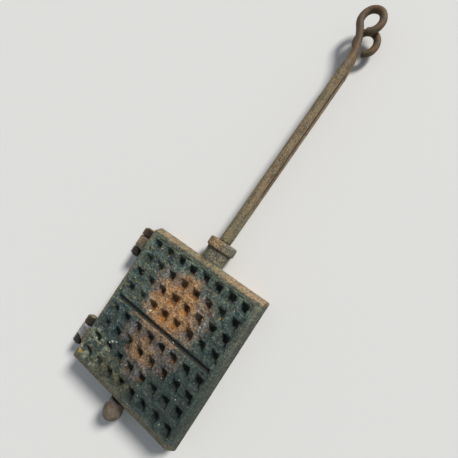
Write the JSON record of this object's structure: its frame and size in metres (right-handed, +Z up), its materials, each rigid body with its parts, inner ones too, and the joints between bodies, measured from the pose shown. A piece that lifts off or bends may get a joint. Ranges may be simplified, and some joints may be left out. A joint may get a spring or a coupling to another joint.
{
  "type": "stovetop waffle iron",
  "caption": "Side-hinged cast-iron waffle iron with two pitted plates, a turning neck and knob, and two long forged handles ending in an eye and a hook",
  "frame": {"origin": "centre of the base plate's outer face, the face the closed iron rests on", "axes": "+X from the hinges to the opening side, +Y from the knob to the handles, +Z up through the lid"},
  "size_m": [0.1742, 0.5484, 0.0343],
  "materials": {
    "plate_iron": "matt old cast iron, dark blue-green grey with brown rust in the middle and worn edges",
    "forged_iron": "smooth-worn forged rod, brown to olive grey",
    "pin_iron": "rusted pin ends, brown"
  },
  "bodies": {
    "base": {"base_plate": "plate_iron", "base_handle": "forged_iron", "handle_end_pin": "pin_iron", "knob_end_pin": "pin_iron"},
    "lid": {"lid_plate": "plate_iron", "lid_handle": "forged_iron"}
  },
  "joints": [
    {"name": "lid_hinge", "type": "hinge", "parent": "base", "child": "lid", "pos_m": [-0.0887, 0, 0.01715], "axis": [0, -1, 0], "range_deg": [0, 180]}
  ]
}
